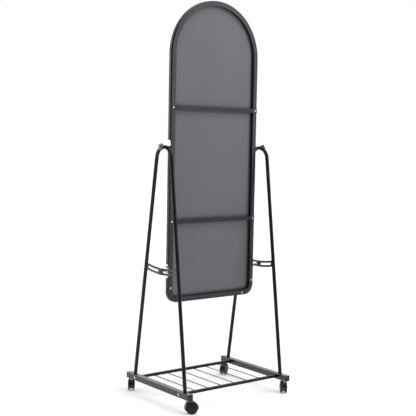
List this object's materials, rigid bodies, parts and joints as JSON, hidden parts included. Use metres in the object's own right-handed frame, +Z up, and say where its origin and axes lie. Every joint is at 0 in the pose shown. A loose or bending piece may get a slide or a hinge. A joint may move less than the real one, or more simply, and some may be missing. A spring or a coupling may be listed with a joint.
{
  "type": "rolling floor mirror",
  "caption": "Full-length arched mirror hung between two bent-tube A-frames, tilting along slotted brackets, on a wheeled base with a wire shelf.",
  "frame": {"origin": "on the floor under the middle of the base, midway between the end bars", "axes": "+Z up; the glass faces -Y and the back board +Y; +X to the right of someone who looks into the glass"},
  "size_m": [0.5918, 0.4814, 1.7089],
  "materials": {
    "frame_paint": "satin black paint",
    "bar_paint": "satin grey-black paint",
    "wire_paint": "light grey paint",
    "black_plastic": "fine matt black",
    "wheel_plastic": "matt black",
    "bright_steel": "bright plated",
    "mirror_glass": "silvered, clear",
    "grey_board": "matt grey fibreboard"
  },
  "bodies": {
    "stand": {"end_bar_left": "bar_paint", "end_bar_right": "bar_paint", "end_cap_front_left": "black_plastic", "end_cap_front_right": "black_plastic", "end_cap_rear_left": "black_plastic", "end_cap_rear_right": "black_plastic", "cross_bar_front": "frame_paint", "cross_bar_rear": "frame_paint", "shelf_wires": "wire_paint", "cross_bolts": "bright_steel", "foot_bolts": "bright_steel", "caster_sockets": "black_plastic", "leg_frame_left": "frame_paint", "leg_frame_right": "frame_paint", "tilt_bracket_left": "bar_paint", "tilt_bracket_right": "bar_paint"},
    "mirror": {"mirror_frame": "frame_paint", "bottom_rail": "frame_paint", "corner_piece_left": "black_plastic", "corner_piece_right": "black_plastic", "mirror_glass": "mirror_glass", "back_board": "grey_board", "back_strip_upper": "frame_paint", "back_strip_lower": "frame_paint", "strip_screws": "bright_steel", "corner_screws": "bright_steel", "thread_inserts": "bright_steel", "side_plates": "bright_steel", "plate_screws": "bright_steel", "pivot_sleeves": "black_plastic"},
    "left_pivot_knob": {"pivot_knob_left": "black_plastic", "pivot_stud_left": "bright_steel"},
    "right_pivot_knob": {"pivot_knob_right": "black_plastic", "pivot_stud_right": "bright_steel"},
    "left_lock_knob": {"lock_knob_left": "black_plastic", "lock_stud_left": "bright_steel"},
    "right_lock_knob": {"lock_knob_right": "black_plastic", "lock_stud_right": "bright_steel"},
    "front_left_caster": {"hood_front_left": "black_plastic", "stem_front_left": "bright_steel", "axle_front_left": "bright_steel"},
    "front_left_wheel_a": {"wheel_a_front_left": "wheel_plastic"},
    "front_left_wheel_b": {"wheel_b_front_left": "wheel_plastic"},
    "front_right_caster": {"hood_front_right": "black_plastic", "stem_front_right": "bright_steel", "axle_front_right": "bright_steel"},
    "front_right_wheel_a": {"wheel_a_front_right": "wheel_plastic"},
    "front_right_wheel_b": {"wheel_b_front_right": "wheel_plastic"},
    "rear_left_caster": {"hood_rear_left": "black_plastic", "stem_rear_left": "bright_steel", "axle_rear_left": "bright_steel"},
    "rear_left_wheel_a": {"wheel_a_rear_left": "wheel_plastic"},
    "rear_left_wheel_b": {"wheel_b_rear_left": "wheel_plastic"},
    "rear_right_caster": {"hood_rear_right": "black_plastic", "stem_rear_right": "bright_steel", "axle_rear_right": "bright_steel"},
    "rear_right_wheel_a": {"wheel_a_rear_right": "wheel_plastic"},
    "rear_right_wheel_b": {"wheel_b_rear_right": "wheel_plastic"}
  },
  "joints": [
    {"name": "mirror_tilt", "type": "hinge", "parent": "stand", "child": "mirror", "pos_m": [0, 0, 1.083], "axis": [1, 0, 0], "range_deg": [-11, 10]},
    {"name": "left_pivot_turn", "type": "hinge", "parent": "mirror", "child": "left_pivot_knob", "pos_m": [-0.28, 0, 1.083], "axis": [1, 0, 0], "range_deg": [0, 360]},
    {"name": "right_pivot_turn", "type": "hinge", "parent": "mirror", "child": "right_pivot_knob", "pos_m": [0.28, 0, 1.083], "axis": [1, 0, 0], "range_deg": [0, 360]},
    {"name": "left_lock_turn", "type": "hinge", "parent": "mirror", "child": "left_lock_knob", "pos_m": [-0.28, 0.00457, 0.55902], "axis": [1, 0, 0], "range_deg": [0, 360]},
    {"name": "right_lock_turn", "type": "hinge", "parent": "mirror", "child": "right_lock_knob", "pos_m": [0.28, 0.00457, 0.55902], "axis": [1, 0, 0], "range_deg": [0, 360]},
    {"name": "front_left_swivel", "type": "hinge", "parent": "stand", "child": "front_left_caster", "pos_m": [-0.27, -0.20451, 0.055], "axis": [0, 0, 1], "continuous": true},
    {"name": "front_left_roll_a", "type": "hinge", "parent": "front_left_caster", "child": "front_left_wheel_a", "pos_m": [-0.25528, -0.19601, 0.025], "axis": [-0.5, 0.866, 0], "continuous": true},
    {"name": "front_left_roll_b", "type": "hinge", "parent": "front_left_caster", "child": "front_left_wheel_b", "pos_m": [-0.25528, -0.19601, 0.025], "axis": [-0.5, 0.866, 0], "continuous": true},
    {"name": "front_right_swivel", "type": "hinge", "parent": "stand", "child": "front_right_caster", "pos_m": [0.27, -0.20451, 0.055], "axis": [0, 0, 1], "continuous": true},
    {"name": "front_right_roll_a", "type": "hinge", "parent": "front_right_caster", "child": "front_right_wheel_a", "pos_m": [0.26025, -0.21844, 0.025], "axis": [0.8192, -0.5736, 0], "continuous": true},
    {"name": "front_right_roll_b", "type": "hinge", "parent": "front_right_caster", "child": "front_right_wheel_b", "pos_m": [0.26025, -0.21844, 0.025], "axis": [0.8192, -0.5736, 0], "continuous": true},
    {"name": "rear_left_swivel", "type": "hinge", "parent": "stand", "child": "rear_left_caster", "pos_m": [-0.27, 0.20451, 0.055], "axis": [0, 0, 1], "continuous": true},
    {"name": "rear_left_roll_a", "type": "hinge", "parent": "rear_left_caster", "child": "rear_left_wheel_a", "pos_m": [-0.27901, 0.1901, 0.025], "axis": [0.848, -0.5299, 0], "continuous": true},
    {"name": "rear_left_roll_b", "type": "hinge", "parent": "rear_left_caster", "child": "rear_left_wheel_b", "pos_m": [-0.27901, 0.1901, 0.025], "axis": [0.848, -0.5299, 0], "continuous": true},
    {"name": "rear_right_swivel", "type": "hinge", "parent": "stand", "child": "rear_right_caster", "pos_m": [0.27, 0.20451, 0.055], "axis": [0, 0, 1], "continuous": true},
    {"name": "rear_right_roll_a", "type": "hinge", "parent": "rear_right_caster", "child": "rear_right_wheel_a", "pos_m": [0.25435, 0.21116, 0.025], "axis": [-0.3907, -0.9205, 0], "continuous": true},
    {"name": "rear_right_roll_b", "type": "hinge", "parent": "rear_right_caster", "child": "rear_right_wheel_b", "pos_m": [0.25435, 0.21116, 0.025], "axis": [-0.3907, -0.9205, 0], "continuous": true}
  ]
}
